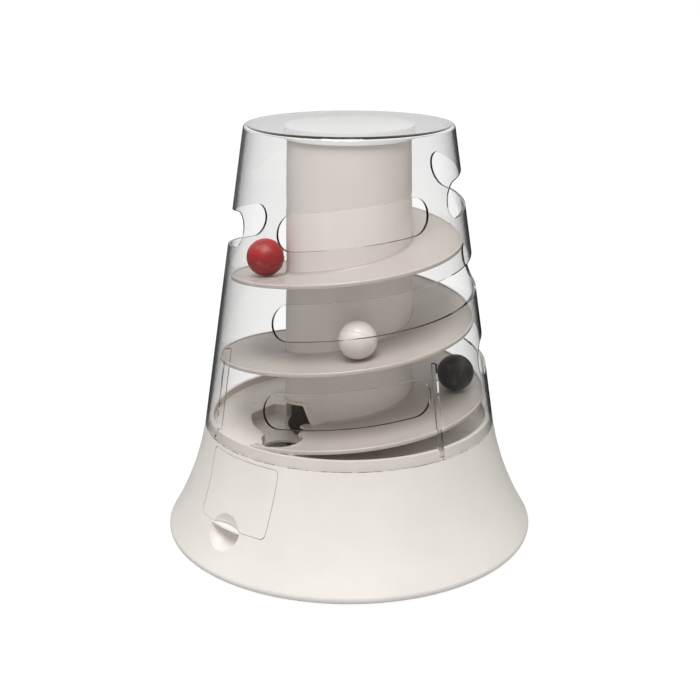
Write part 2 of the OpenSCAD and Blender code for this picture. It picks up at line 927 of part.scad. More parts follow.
module column_screws() {
    color(steel)
    for (angle = lug_angles)
        place(angle, lug_pos) screw_down(lug_z + lug_t, screw_l - overrun / 2);
}

// Spiral track

// outline of the track on the radial plane at an angle
function track_ring(angle) =
    let (
        z = track_z(angle),
        inner = column_at(z) + column_gap,
        outer = track_r(angle)
    )
    [
        on_plane(angle, inner, z - track_t),
        on_plane(angle, outer, z - track_t),
        on_plane(angle, outer, z + lip_h),
        on_plane(angle, outer - lip_w, z + lip_h),
        on_plane(angle, outer - lip_w, z),
        on_plane(angle, inner, z)
    ];

module track_part(from, to) {
    skin([for (angle = steps(from, to, track_step_angle)) track_ring(angle)]);
}

// the pegs of one part of the track, which pass through the wall of the column
module pegs(angles, grow) {
    for (angle = angles) {
        z = track_z(angle) - track_t / 2;
        face(angle)
            translate([column_at(z) - column_wall - peg_end - grow, -peg_w / 2 - grow, z - peg_t / 2 - grow])
            cube([column_wall + peg_end + column_gap + peg_t + grow, peg_w + 2 * grow, peg_t + 2 * grow]);
    }
}

// notches in the edge of the track for the ribs of the cover
module rib_slots() {
    for (angle = rib_angles) {
        on_track = angle < track_start_angle ? angle + 360 : angle;
        z = track_z(on_track) + lip_h + overrun;
        slot_w = rib_w + 2 * rib_slot_gap;
        slot_deep = track_t + lip_h + 2 * overrun;
        face(angle)
            translate([cover_at(z) - cover_wall - rib_depth - slack, -slot_w / 2, z - slot_deep])
            cube([rib_depth + cover_wall, slot_w, slot_deep]);
    }
}

// half a seam, as an angle at the outer edge
function seam_half(angle) = seam_gap / track_r(angle) * 180 / PI;

module track_lower() {
    start_z = track_z(track_start_angle);
    color(light_grey)
    difference() {
        union() {
            track_part(track_start_angle, seam_angles[0] - seam_half(seam_angles[0]));
            pegs(peg_angles[0], 0);
        }
        rib_slots();
        // the lower end lies inside the seat ring
        tube(base_r, ring_head_r - ring_wall - slack, base_h, ring_top + slack);
        // a ball leaves the track over the catch
        for (middle = [drop_spot, catch_spot])
            translate([middle[0], middle[1], start_z - track_t - overrun])
            cylinder(r = drop_r + track_cut, h = track_front_z - start_z + track_t + lip_h + 2 * overrun);
    }
}

module track_middle() {
    color(light_grey) {
        track_part(seam_angles[0] + seam_half(seam_angles[0]), seam_angles[1] - seam_half(seam_angles[1]));
        pegs(peg_angles[1], 0);
    }
}

// the upper part ends in a low wall, so that a ball can't roll off backwards
module track_upper() {
    end_z = track_z(track_end_angle);
    end_from = column_at(end_z) + column_gap + lip_w / 2;
    color(light_grey) {
        track_part(seam_angles[1] + seam_half(seam_angles[1]), track_end_angle);
        pegs(peg_angles[2], 0);
        face(track_end_angle)
            translate([end_from, -end_wall_t - slack, end_z - track_t / 2])
            cube([track_r(track_end_angle) - lip_w / 2 - end_from, end_wall_t, end_wall_h]);
    }
}

// Clear cover

// half height of a slot near its round ends
function slot_half(run) = run >= slot_h / 2 ? slot_h / 2 : sqrt(max(0, run * (slot_h - run)));

function slot_z(angle) = slot_front_z + slot_pitch * angle / 360;

function slot_ring(angle, half) =
    let (
        z = slot_z(angle),
        inner = cover_at(z) - slot_margin,
        outer = cover_at(z) + slot_margin
    )
    [
        on_plane(angle, inner, z - half), on_plane(angle, outer, z - half),
        on_plane(angle, outer, z + half), on_plane(angle, inner, z + half)
    ];

module slot_cut(from, to) {
    end_angle = slot_h / 2 / cover_at(slot_z((from + to) / 2)) * 180 / PI;
    round_shares = [for (i = [1:slot_end_steps]) 1 - cos(90 * i / slot_end_steps)];
    start = [for (share = round_shares) slot_ring(from + end_angle * share, slot_half(slot_h / 2 * share))];
    middle = [for (angle = steps(from + end_angle, to - end_angle, slot_step_angle)) slot_ring(angle, slot_h / 2)];
    end = [
        for (i = [1:slot_end_steps])
        let (share = round_shares[slot_end_steps - i])
        slot_ring(to - end_angle * share, slot_half(slot_h / 2 * share))
    ];
    inner_middle = [for (i = [1:len(middle) - 2]) middle[i]];
    skin(concat(start, inner_middle, end));
}

// the cone of the cover, moved inwards by a wall, with its top edge rounded
module cover_body(inset, from, to) {
    edge = cover_edge_r - inset;
    taper = atan((base_top_r - cover_top_r) / (overall_h - base_h));
    edge_x = cover_at(to - edge) - inset - edge / cos(taper);
    rotate_extrude() {
        polygon([
            [0, from], [cover_at(from) - inset, from],
            [edge_x + edge * cos(taper), to - edge + edge * sin(taper)], [edge_x, to], [0, to]
        ]);
        translate([edge_x, to - edge]) circle(r = edge);
    }
}

module cover_ribs() {
    intersection() {
        for (angle = rib_angles)
            face(angle)
                translate([cover_at(base_h + rib_h) - rib_depth - cover_wall, -rib_w / 2, base_h + rib_foot_rise])
                cube([base_r, rib_w, rib_h - rib_foot_rise]);
        cover_body(cover_wall / 2, base_h, overall_h - cover_wall);
    }
}

module clear_cover() {
    color(clear_tint)
    difference() {
        union() {
            difference() {
                cover_body(0, base_h, overall_h);
                cover_body(cover_wall, base_h - overrun, overall_h - cover_wall);
            }
            difference() {
                cover_ribs();
                // the inner faces of the ribs follow the wall
                translate([0, 0, base_h - overrun])
                    cylinder(
                        r1 = cover_at(base_h - overrun) - cover_wall - rib_depth,
                        r2 = cover_at(base_h + rib_h + overrun) - cover_wall - rib_depth,
                        h = rib_h + 2 * overrun
                    );
            }
        }
        for (ends = slot_angles) slot_cut(ends[0], ends[1]);
    }
}

// Balls

module hollow_ball(angle, pos) {
    place(angle, pos, track_z(angle) + ball_d / 2 + ball_lift)
    difference() {
        sphere(r = ball_d / 2);
        sphere(r = ball_d / 2 - ball_wall);
    }
}

module ball_red() {
    color("firebrick") hollow_ball(red_angle, red_pos);
}

module ball_white() {
    color("whitesmoke") hollow_ball(white_angle, white_pos);
}

module ball_black() {
    color([0.2, 0.2, 0.2]) hollow_ball(black_angle, black_pos);
}

// Lift screw and drive

module lift_shaft() {
    color(steel) translate([0, 0, shaft_from_z]) cylinder(r = shaft_r, h = shaft_to_z - shaft_from_z);
}

function flight_ring(angle) =
    let (z = flight_from_z + flight_pitch * angle / 360)
    [
        on_plane(angle, core_r - flight_bite, z), on_plane(angle, flight_r, z),
        on_plane(angle, flight_r, z + flight_t), on_plane(angle, core_r - flight_bite, z + flight_t)
    ];

module lift_screw() {
    sweep = 360 * (flight_to_z - flight_from_z) / flight_pitch;
    color(white_shell) {
        difference() {
            translate([0, 0, screw_from_z]) cylinder(r = core_r, h = screw_to_z - screw_from_z);
            translate([0, 0, screw_from_z - overrun]) cylinder(r = shaft_r, h = screw_to_z - screw_from_z + 2 * overrun);
        }
        skin([for (angle = steps(0, sweep, flight_step_angle)) flight_ring(angle)]);
    }
}

module top_bush() {
    color(brass_tone) tube(bush_r, shaft_r + running_gap, shaft_to_z - top_bush_l, shaft_to_z);
}

module bottom_bush() {
    color(brass_tone) tube(bush_r, shaft_r + running_gap, shaft_from_z, shaft_from_z + bush_l);
}

// flat outline of a gear: four points a tooth, with room between the flanks
module gear_outline(teeth) {
    pitch_r = gear_module * teeth / 2;
    step = 360 / teeth;
    polygon([
        for (i = [0:teeth - 1])
        for (corner = [
            [-root_share, -dedendum_share], [-tip_share, addendum_share],
            [tip_share, addendum_share], [root_share, -dedendum_share]
        ])
        let (angle = step * (i + corner[0] / 2), r = pitch_r + corner[1] * gear_module)
        [r * cos(angle), r * sin(angle)]
    ]);
}

module drive_gear() {
    web_in = hub_r + boss_wall;
    web_out = gear_pitch_r - dedendum_share * gear_module - rim_w;
    color(white_shell)
    difference() {
        union() {
            translate([0, 0, gear_z]) linear_extrude(gear_t) gear_outline(gear_teeth);
            translate([0, 0, shaft_from_z + bush_l + seat_gap])
                cylinder(r = hub_r, h = gear_z + gear_t - shaft_from_z - bush_l - seat_gap);
        }
        translate([0, 0, shaft_from_z]) cylinder(r = shaft_r, h = gear_z + gear_t);
        tube(web_out, web_in, gear_z + gear_t - (gear_t - web_t) / 2, gear_z + gear_t + overrun);
        tube(web_out, web_in, gear_z - overrun, gear_z + (gear_t - web_t) / 2);
    }
}

module motor_shaft() {
    color(steel) place(motor_angle, motor_pos, motor_z + motor_h + seat_gap)
        cylinder(r = motor_shaft_r, h = gear_z + gear_t - motor_z - motor_h - seat_gap);
}

module motor_pinion() {
    turn = 180 + 180 / pinion_teeth;
    color(white_shell) place(motor_angle, motor_pos, gear_z)
    difference() {
        rotate([0, 0, turn]) linear_extrude(gear_t) gear_outline(pinion_teeth);
        translate([0, 0, -overrun]) cylinder(r = motor_shaft_r, h = gear_t + 2 * overrun);
    }
}

module gear_motor() {
    color(steel) place(motor_angle, motor_pos, motor_z)
    difference() {
        union() {
            cylinder(r = motor_r, h = motor_h);
            cylinder(r = motor_boss_r, h = motor_h + motor_boss_h);
        }
        translate([0, 0, motor_h]) cylinder(r = motor_shaft_r + running_gap, h = motor_boss_h + overrun);
    }
}

module motor_cradle() {
    color(black_tone) place(motor_angle, motor_pos, plate_top)
    difference() {
        union() {
            cylinder(r = motor_r + cradle_wall, h = cradle_h);
            for (side = [-1, 1]) {
                translate([0, side * cradle_ear_pos, 0]) cylinder(r = cradle_ear_r, h = cradle_ear_t);
            }
        }
        translate([0, 0, motor_z - plate_top]) cylinder(r = motor_r + running_gap, h = cradle_h);
        for (side = [-1, 1])
            translate([0, side * cradle_ear_pos, -overrun]) cylinder(r = pilot_r, h = cradle_ear_t + 2 * overrun);
    }
}

module cradle_screws() {
    color(steel) place(motor_angle, motor_pos)
    for (side = [-1, 1])
        translate([0, side * cradle_ear_pos, 0]) screw_up(plate_z, plate_t + cradle_ear_t - slack);
}

// Batteries

module battery_box() {
    outer_x = box_in_x + 2 * box_wall;
    outer_y = box_in_y + 2 * box_wall;
    color(black_tone) translate([0, box_pos, plate_top])
    difference() {
        translate([-outer_x / 2, -outer_y / 2, 0]) cube([outer_x, outer_y, box_in_h + box_wall]);
        translate([-box_in_x / 2, -box_in_y / 2, -overrun]) cube([box_in_x, box_in_y, box_in_h + overrun]);
    }
}

function cell_y(i) = box_pos + (i - (cell_count - 1) / 2) * cell_pitch;

module battery_cells() {
    color("darkolivegreen")
    for (i = [0:cell_count - 1])
        translate([-cell_l / 2, cell_y(i), cell_z])
            rotate([0, 90, 0]) cylinder(r = cell_r, h = cell_l);
}

module battery_contacts() {
    color(steel)
    for (i = [0:cell_count - 1], side = [-1, 1])
        translate([side * (box_in_x / 2 - contact_gap - contact_t / 2) - contact_t / 2, cell_y(i) - contact_w / 2,
            cell_z - contact_w / 2])
            cube([contact_t, contact_w, contact_w]);
}

module battery_door() {
    w = box_in_x + 2 * door_lap;
    color(white_shell)
    translate([-w / 2, box_pos - box_in_y / 2 - door_lap, door_z])
        cube([w, box_in_y + 2 * door_lap, door_t]);
}

// Power button and control board

module power_button() {
    color(light_grey) {
        place(button_angle, button_back_y, button_z) rotate([0, 90, 0]) {
            cylinder(r = button_r, h = button_l);
            cylinder(r = button_flange_r, h = button_flange_t);
        }
    }
}

module tact_switch() {
    color(black_tone)
    translate([-switch_w / 2, switch_face_y - switch_t, button_z - switch_w / 2])
        cube([switch_w, switch_t, switch_w]);
}

module control_board() {
    color("seagreen")
    translate([-board_w / 2, board_y - board_t, button_z - board_h / 2]) cube([board_w, board_t, board_h]);
}

base_shell();
hatch_door();
base_plate();
rubber_feet();
base_screws();
deck();
deck_screws();
ball_chute();
column_tube();
column_floor();
column_cap();
column_screws();
track_lower();
track_middle();
track_upper();
clear_cover();
ball_red();
ball_white();
ball_black();
lift_shaft();
lift_screw();
top_bush();
bottom_bush();
drive_gear();
motor_shaft();
motor_pinion();
gear_motor();
motor_cradle();
cradle_screws();
battery_box();
battery_cells();
battery_contacts();
battery_door();
control_board();
tact_switch();
power_button();
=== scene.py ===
import json
import math

import bpy
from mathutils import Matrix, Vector


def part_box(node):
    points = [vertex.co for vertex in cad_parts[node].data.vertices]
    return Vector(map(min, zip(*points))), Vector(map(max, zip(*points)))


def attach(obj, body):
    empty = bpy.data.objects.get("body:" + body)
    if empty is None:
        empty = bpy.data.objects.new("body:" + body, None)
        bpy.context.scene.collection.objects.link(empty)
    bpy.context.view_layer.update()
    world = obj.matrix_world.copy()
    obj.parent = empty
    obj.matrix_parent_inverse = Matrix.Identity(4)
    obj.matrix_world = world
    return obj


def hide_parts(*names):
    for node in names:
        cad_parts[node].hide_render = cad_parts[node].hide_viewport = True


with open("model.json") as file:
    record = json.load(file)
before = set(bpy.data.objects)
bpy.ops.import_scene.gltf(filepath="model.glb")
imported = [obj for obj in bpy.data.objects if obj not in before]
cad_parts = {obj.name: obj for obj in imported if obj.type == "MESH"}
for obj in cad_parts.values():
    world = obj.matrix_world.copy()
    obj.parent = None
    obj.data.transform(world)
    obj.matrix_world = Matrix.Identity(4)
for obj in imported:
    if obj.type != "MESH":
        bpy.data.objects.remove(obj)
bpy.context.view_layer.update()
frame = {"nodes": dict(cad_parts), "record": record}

MM = 0.001

# Sizes are in millimetres, as the frame was built with them. Angles are in degrees from the front, positive
# to the right; on the track and the slots they go on past 360, so that each turn up adds another 360.

# Clear cover: a cone from its seam with the base to its top.
SEAM_Z, SEAM_R = 105.0, 133.2
TOP_Z, TOP_R = 375.7, 91.4
COVER_WALL = 2.6
COVER_EDGE = 4.0

# Paw slots in the cover: half their height, their middle at the front, and their rise a turn.
SLOT_HALF = 15.5
SLOT_FRONT_Z = 157.0
SLOT_RISE = 73.5
SLOTS = [(-35, 33.5), (68, 128), (326, 465), (589, 661), (685, 760), (775, 848)]
SLOT_END_STEPS = 14
SLOT_REACH = 10

# Ribs inside the cover.
RIB_ANGLES = [-64, 37.5, 167]
RIB_WIDE = 3.0
RIB_DEEP = 4.5
RIB_FROM_Z, RIB_TO_Z = 106.5, 187.0

# Spiral track: its running surface at the front, its rise a turn, and the sag of its lowest part.
TRACK_FRONT_Z = 121.8
TRACK_RISE = 68.52
TRACK_SAG = 5.3
TRACK_SAG_TURN = 520
TRACK_THICK = 2.4
TRACK_START, TRACK_END = -42, 920
LIP_HIGH = 1.3
LIP_WIDE = 2.0
SEAMS = [308, 668]
SEAM_GAP_HALF = 0.3
PEGS = [[20, 140, 260], [360, 480, 600], [700, 790, 880]]

# The catch: two round bites at the low end of the track, where a ball leaves it.
CATCHES = [(-44, 84), (-34.3, 103)]
CATCH_R = 18.5
CATCH_Z = 109

# Column and the recess in the deck beside it.
COLUMN_FOOT = (48.5, 60.6)
COLUMN_TOP = (364.0, 54.2)
RECESS_Z = 98.5
WINDOW_ANGLE = -67
WINDOW_HALF = 36.5
WINDOW_CORNER_Z, WINDOW_LOW_Z, WINDOW_HIGH_Z = 108.3, 119.0, 131.0

# Balls: the angle along the track and the distance from the middle at which each lies.
BALL_R = 16.5
BALL_GROOVE = 0.25
BALLS = {"red": (647, 76.5), "white": (365, 83.0), "black": (81, 97.5)}

FLOOR_HOLE_R = 159.0


# ---- camera, floor and light

def add_camera():
    """The camera stands in front of the toy, a little above its top, and looks down at it."""
    data = bpy.data.cameras.new("camera")
    data.sensor_width = 36.0
    data.lens = 62.18
    camera = bpy.data.objects.new("camera", data)
    camera.location = (0.7 * MM, -1054.9 * MM, 510.3 * MM)
    camera.rotation_euler = (math.radians(90 - 17.919), 0, 0)
    bpy.context.scene.collection.objects.link(camera)
    bpy.context.scene.camera = camera


def linear(code):
    """An sRGB hex colour as linear values."""
    parts = [int(code[i:i + 2], 16) / 255 for i in (1, 3, 5)]
    return tuple(c / 12.92 if c <= 0.04045 else ((c + 0.055) / 1.055) ** 2.4 for c in parts) + (1.0,)


WHITE = linear("#FFFFFF")


def node(tree, kind, settings=None, inputs=None):
    """Adds a node. Settings are its properties. Inputs, by socket name or number, are values, output sockets,
    or nodes, which pass on their first output."""
    made = tree.nodes.new(kind)
    for key, value in (settings or {}).items():
        setattr(made, key, value)
    for key, value in (inputs or {}).items():
        if isinstance(value, bpy.types.Node):
            value = value.outputs[0]
        if isinstance(value, bpy.types.NodeSocket):
            tree.links.new(value, made.inputs[key])
        else:
            made.inputs[key].default_value = value
    return made


def new_material(name):
    material = bpy.data.materials.new(name)
    material.use_nodes = True
    material.node_tree.nodes.clear()
    return material, material.node_tree


def show(tree, shader):
    node(tree, "ShaderNodeOutputMaterial", inputs={"Surface": shader})


def seen_straight(tree, path):
    """1 where the eye meets a surface directly, or straight through the clear cover, without a reflection
    between."""
    mirrors = node(tree, "ShaderNodeMath", {"operation": "MINIMUM"}, {
        0: path.outputs["Glossy Depth"], 1: 1.0})
    through = node(tree, "ShaderNodeMath", {"operation": "SUBTRACT", "use_clamp": True}, {
        0: path.outputs["Is Transmission Ray"], 1: mirrors})
    return node(tree, "ShaderNodeMath", {"operation": "MAXIMUM"}, {
        0: path.outputs["Is Camera Ray"], 1: through})


def add_floor():
    """A plain white floor that keeps the toy's shadow. In reflections it is dim, so that the clear cover
    stays clear. Under the toy, where the front never shows it, it is open, so that the underside can be
    looked at."""
    material, tree = new_material("white_floor")
    path = node(tree, "ShaderNodeLightPath")
    seen = seen_straight(tree, path)
    share = node(tree, "ShaderNodeMath", {"operation": "MULTIPLY"}, {0: seen, 1: 0.85})
    matt = node(tree, "ShaderNodeBsdfDiffuse", inputs={"Color": linear("#CBCAC8")})
    glow = node(tree, "ShaderNodeEmission", inputs={"Color": WHITE, "Strength": 1.12})
    plain = node(tree, "ShaderNodeMixShader", inputs={0: share, 1: matt, 2: glow})
    dim = node(tree, "ShaderNodeEmission", inputs={"Color": WHITE, "Strength": 0.12})
    mirrored = node(tree, "ShaderNodeMath", {"operation": "SUBTRACT", "use_clamp": True}, {
        0: path.outputs["Is Glossy Ray"], 1: seen})
    show(tree, node(tree, "ShaderNodeMixShader", inputs={0: mirrored, 1: plain, 2: dim}))
    at_rest()
    bpy.ops.mesh.primitive_circle_add(vertices=128, radius=FLOOR_HOLE_R * MM)
    floor = started("floor")
    edit(floor)
    bpy.ops.mesh.extrude_edges_move()
    bpy.ops.transform.resize(value=(200, 200, 1))
    at_rest()
    floor.data.materials.append(material)


def add_world():
    """Soft white light, stronger from above. The camera and the clear parts see plain white; glossy surfaces
    see a bright ceiling and back wall, and a dim room towards the sides and the front."""
    world = bpy.data.worlds.new("studio")
    bpy.context.scene.world = world
    world.use_nodes = True
    tree = world.node_tree
    tree.nodes.clear()
    path = node(tree, "ShaderNodeLightPath")
    seen = seen_straight(tree, path)
    way = node(tree, "ShaderNodeSeparateXYZ", inputs={
        0: node(tree, "ShaderNodeTexCoord").outputs["Generated"]})
    leaning = node(tree, "ShaderNodeMath", {"operation": "MULTIPLY_ADD"}, {
        0: way.outputs["Y"], 1: 0.35, 2: way.outputs["Z"]})
    ceiling = node(tree, "ShaderNodeMapRange", inputs={
        "Value": leaning, "From Min": 0.2, "From Max": 0.6, "To Min": 0.12, "To Max": 1.1})
    dome = node(tree, "ShaderNodeMapRange", inputs={
        "Value": way.outputs["Z"], "From Min": -0.1, "From Max": 0.9, "To Min": 0.2, "To Max": 0.86})
    plain = node(tree, "ShaderNodeBackground", inputs={"Color": WHITE, "Strength": 1.0})
    light = node(tree, "ShaderNodeBackground", inputs={"Color": linear("#FFFDFA"), "Strength": dome})
    sheen = node(tree, "ShaderNodeBackground", inputs={"Color": WHITE, "Strength": ceiling})
    room = node(tree, "ShaderNodeMixShader", inputs={0: path.outputs["Is Glossy Ray"], 1: light, 2: sheen})
    mix = node(tree, "ShaderNodeMixShader", inputs={0: seen, 1: room, 2: plain})
    node(tree, "ShaderNodeOutputWorld", inputs={"Surface": mix})


def add_card(name, code, place, wide, high):
    """An upright card behind the toy, out of the picture, that only the clear and glossy surfaces reflect."""
    material, tree = new_material(name)
    show(tree, node(tree, "ShaderNodeEmission", inputs={"Color": linear(code), "Strength": 1.0}))
    bpy.ops.mesh.primitive_plane_add(size=1, location=place, rotation=(math.radians(90), 0, 0))
    card = started(name)
    card.scale = (wide, high, 1)
    card.data.materials.append(material)
    card.visible_camera = False
    card.visible_diffuse = False
    card.visible_shadow = False
    card.visible_transmission = False


def add_lamp(name, place, watts):
    """A round soft lamp, 1 m across, that points at the toy. One that stands below the floor isn't seen."""
    above = place[2] > 0
    data = bpy.data.lights.new(name, "AREA")
    data.shape = "DISK"
    data.size = 1.0
    data.energy = watts
    lamp = bpy.data.objects.new(name, data)
    lamp.location = place
    lamp.rotation_euler = (Vector((0, 0, 0.15)) - Vector(place)).to_track_quat("-Z", "Y").to_euler()
    lamp.visible_camera = lamp.visible_glossy = lamp.visible_transmission = above
    bpy.context.scene.collection.objects.link(lamp)


# ---- materials

# A mix of two colours: input 0 is the share of the second, 6 and 7 are the colours, output 2 is the result.
OF_COLOURS = {"data_type": "RGBA"}


def lumps(size_mm):
    """The scale of a noise whose lumps are about one size across."""
    return 1 / (size_mm * MM)


def shade(code, factor):
    """A colour made darker or lighter by a factor."""
    return tuple(min(1.0, c * factor) for c in linear(code)[:3]) + (1.0,)


def moulded(name, code, roughness, grain_mm=0.6, bump=0.12, spread=0.05, wear_and_highlight=0.5, edge_polish_and_highlight=1.12):
    """Moulded plastic. The spark-eroded grain of the mould (real size about 0.1 mm, drawn coarser to show)
    breaks the gloss, a faint cloud of flow marks 45 mm across varies the colour, handling smudges 18 mm
    across vary the gloss, and the sharp edges are paler and smoother: partly where hands and paws polish
    them, and partly as a painted highlight where the edges catch the light."""
    material, tree = new_material(name)
    place = node(tree, "ShaderNodeTexCoord").outputs["Object"]
    flow = node(tree, "ShaderNodeTexNoise", inputs={"Vector": place, "Scale": lumps(45), "Detail": 3.0})
    cloud = node(tree, "ShaderNodeMapRange", inputs={"Value": flow, "From Min": 0.3, "From Max": 0.7})
    grain = node(tree, "ShaderNodeTexNoise", inputs={"Vector": place, "Scale": lumps(grain_mm)})
    smudge = node(tree, "ShaderNodeTexNoise", inputs={"Vector": place, "Scale": lumps(18), "Detail": 4.0})
    edge = node(tree, "ShaderNodeNewGeometry").outputs["Pointiness"]
    # Sharp edges found by pointiness: partly real polish, partly a painted highlight.
    polish_and_highlight_mask = node(tree, "ShaderNodeMapRange", inputs={
        "Value": edge, "From Min": 0.51, "From Max": 0.56, "To Max": wear_and_highlight})
    ground = node(tree, "ShaderNodeMix", OF_COLOURS, {0: cloud, 6: shade(code, 1 - spread), 7: linear(code)})
    colour = node(tree, "ShaderNodeMix", OF_COLOURS, {
        0: polish_and_highlight_mask, 6: ground.outputs[2], 7: shade(code, edge_polish_and_highlight)})
    gloss = node(tree, "ShaderNodeMapRange", inputs={
        "Value": smudge, "From Min": 0.3, "From Max": 0.7,
        "To Min": roughness - 0.05, "To Max": roughness + 0.06})
    rough = node(tree, "ShaderNodeMath", {"operation": "MULTIPLY_ADD"}, {0: polish_and_highlight_mask, 1: -0.15, 2: gloss})
    relief = node(tree, "ShaderNodeBump", inputs={"Strength": bump, "Distance": 0.06 * MM, "Height": grain})
    show(tree, node(tree, "ShaderNodeBsdfPrincipled", inputs={
        "Base Color": colour.outputs[2], "Roughness": rough, "IOR": 1.53, "Normal": relief}))
    return material


def blown(name, code, roughness, depth):
    """Blown polypropylene of a ball: a waxy sheen, fine scuffs 6 mm apart from rolling, and a paler streak or
    two, 22 mm wide, where the colour isn't quite mixed."""
    material, tree = new_material(name)
    place = node(tree, "ShaderNodeTexCoord").outputs["Object"]
    swirl = node(tree, "ShaderNodeTexNoise", inputs={"Vector": place, "Scale": lumps(22), "Detail": 3.0})
    streak = node(tree, "ShaderNodeMapRange", inputs={"Value": swirl, "From Min": 0.35, "From Max": 0.7})
    marks = node(tree, "ShaderNodeTexNoise", inputs={"Vector": place, "Scale": lumps(6), "Detail": 6.0})
    scuff = node(tree, "ShaderNodeMapRange", inputs={"Value": marks, "From Min": 0.56, "From Max": 0.7})
    grain = node(tree, "ShaderNodeTexNoise", inputs={"Vector": place, "Scale": lumps(0.7)})
    ground = node(tree, "ShaderNodeMix", OF_COLOURS, {0: streak, 6: shade(code, 1 - depth), 7: linear(code)})
    dust = node(tree, "ShaderNodeMath", {"operation": "MULTIPLY"}, {0: scuff, 1: 0.08})
    colour = node(tree, "ShaderNodeMix", OF_COLOURS, {0: dust, 6: ground.outputs[2], 7: linear("#D8D4D0")})
    rough = node(tree, "ShaderNodeMapRange", inputs={
        "Value": scuff, "To Min": roughness, "To Max": roughness + 0.22})
    relief = node(tree, "ShaderNodeBump", inputs={"Strength": 0.15, "Distance": 0.06 * MM, "Height": grain})
    show(tree, node(tree, "ShaderNodeBsdfPrincipled", inputs={
        "Base Color": colour.outputs[2], "Roughness": rough, "IOR": 1.49, "Normal": relief}))
    return material


def metal(name, code, roughness, stain="#8C8478"):
    """Turned or drawn metal: tool marks (real size about 0.1 mm, drawn 0.4 mm apart to show) in the roughness
    and relief, and handling stains 9 mm wide."""
    material, tree = new_material(name)
    place = node(tree, "ShaderNodeTexCoord").outputs["Object"]
    lines = node(tree, "ShaderNodeTexNoise", inputs={"Vector": place, "Scale": lumps(0.4)})
    patches = node(tree, "ShaderNodeTexNoise", inputs={"Vector": place, "Scale": lumps(9), "Detail": 4.0})
    marks = node(tree, "ShaderNodeMapRange", inputs={
        "Value": patches, "From Min": 0.5, "From Max": 0.75, "To Max": 0.35})
    colour = node(tree, "ShaderNodeMix", OF_COLOURS, {0: marks, 6: linear(code), 7: linear(stain)})
    rough = node(tree, "ShaderNodeMapRange", inputs={
        "Value": lines, "From Min": 0.3, "From Max": 0.7,
        "To Min": roughness - 0.08, "To Max": roughness + 0.1})
    relief = node(tree, "ShaderNodeBump", inputs={"Strength": 0.1, "Distance": 0.02 * MM, "Height": lines})
    show(tree, node(tree, "ShaderNodeBsdfPrincipled", inputs={
        "Base Color": colour.outputs[2], "Metallic": 1.0, "Roughness": rough, "Normal": relief}))
    return material


def rubber(name, code):
    """Moulded rubber: matt, with dust that settles in patches 7 mm wide over a pebbled grain of 0.8 mm."""
    material, tree = new_material(name)
    place = node(tree, "ShaderNodeTexCoord").outputs["Object"]
    patches = node(tree, "ShaderNodeTexNoise", inputs={"Vector": place, "Scale": lumps(7), "Detail": 5.0})
    dust = node(tree, "ShaderNodeMapRange", inputs={
        "Value": patches, "From Min": 0.45, "From Max": 0.75, "To Max": 0.3})
    colour = node(tree, "ShaderNodeMix", OF_COLOURS, {0: dust, 6: linear(code), 7: linear("#6B6762")})
    grain = node(tree, "ShaderNodeTexNoise", inputs={"Vector": place, "Scale": lumps(0.8)})
    relief = node(tree, "ShaderNodeBump", inputs={"Strength": 0.25, "Distance": 0.08 * MM, "Height": grain})
    show(tree, node(tree, "ShaderNodeBsdfPrincipled", inputs={
        "Base Color": colour.outputs[2], "Roughness": 0.78, "IOR": 1.52, "Normal": relief}))
    return material


def clear_styrene():
    """Clear moulded polystyrene: sharp and bright where it is seen face on, and painted grey where a wall
    turns edge on, a painted shade that stands for the dark outlines of its walls. A slow swell of the
    surface, 45 mm from crest to crest, bends the reflections as a moulded wall does, and a few fine scratches
    3 mm apart dull the gloss. Its IOR is matched a little below the typical 1.59, and shadow rays pass it
    almost whole."""
    material, tree = new_material("clear_moulded_polystyrene")
    place = node(tree, "ShaderNodeTexCoord").outputs["Object"]
    facing = node(tree, "ShaderNodeLayerWeight", inputs={"Blend": 0.5}).outputs["Facing"]
    # Painted shade: the colour darkens to grey where the wall is seen edge on.
    edge = node(tree, "ShaderNodeMapRange", {"interpolation_type": "SMOOTHSTEP"}, {
        "Value": facing, "From Min": 0.77, "From Max": 0.98})
    painted_outline_tint = node(tree, "ShaderNodeMix", OF_COLOURS, {0: edge, 6: linear("#FCFCFC"), 7: linear("#6E7071")})
    marks = node(tree, "ShaderNodeTexNoise", inputs={"Vector": place, "Scale": lumps(3), "Detail": 6.0})
    scratch = node(tree, "ShaderNodeMapRange", inputs={
        "Value": marks, "From Min": 0.6, "From Max": 0.75, "To Min": 0.012, "To Max": 0.05})
    swell = node(tree, "ShaderNodeTexNoise", inputs={"Vector": place, "Scale": lumps(45), "Detail": 1.0})
    relief = node(tree, "ShaderNodeBump", inputs={"Strength": 0.1, "Distance": 0.3 * MM, "Height": swell})
    clear = node(tree, "ShaderNodeBsdfPrincipled", inputs={
        "Base Color": painted_outline_tint.outputs[2], "Roughness": scratch, "IOR": 1.5, "Transmission Weight": 1.0,
        "Normal": relief})
    open_way = node(tree, "ShaderNodeBsdfTransparent", inputs={"Color": (0.95, 0.95, 0.95, 1)})
    path = node(tree, "ShaderNodeLightPath")
    passed = node(tree, "ShaderNodeMath", {"operation": "MAXIMUM"}, {
        0: path.outputs["Is Shadow Ray"], 1: path.outputs["Is Diffuse Ray"]})
    show(tree, node(tree, "ShaderNodeMixShader", inputs={0: passed, 1: clear, 2: open_way}))
    return material


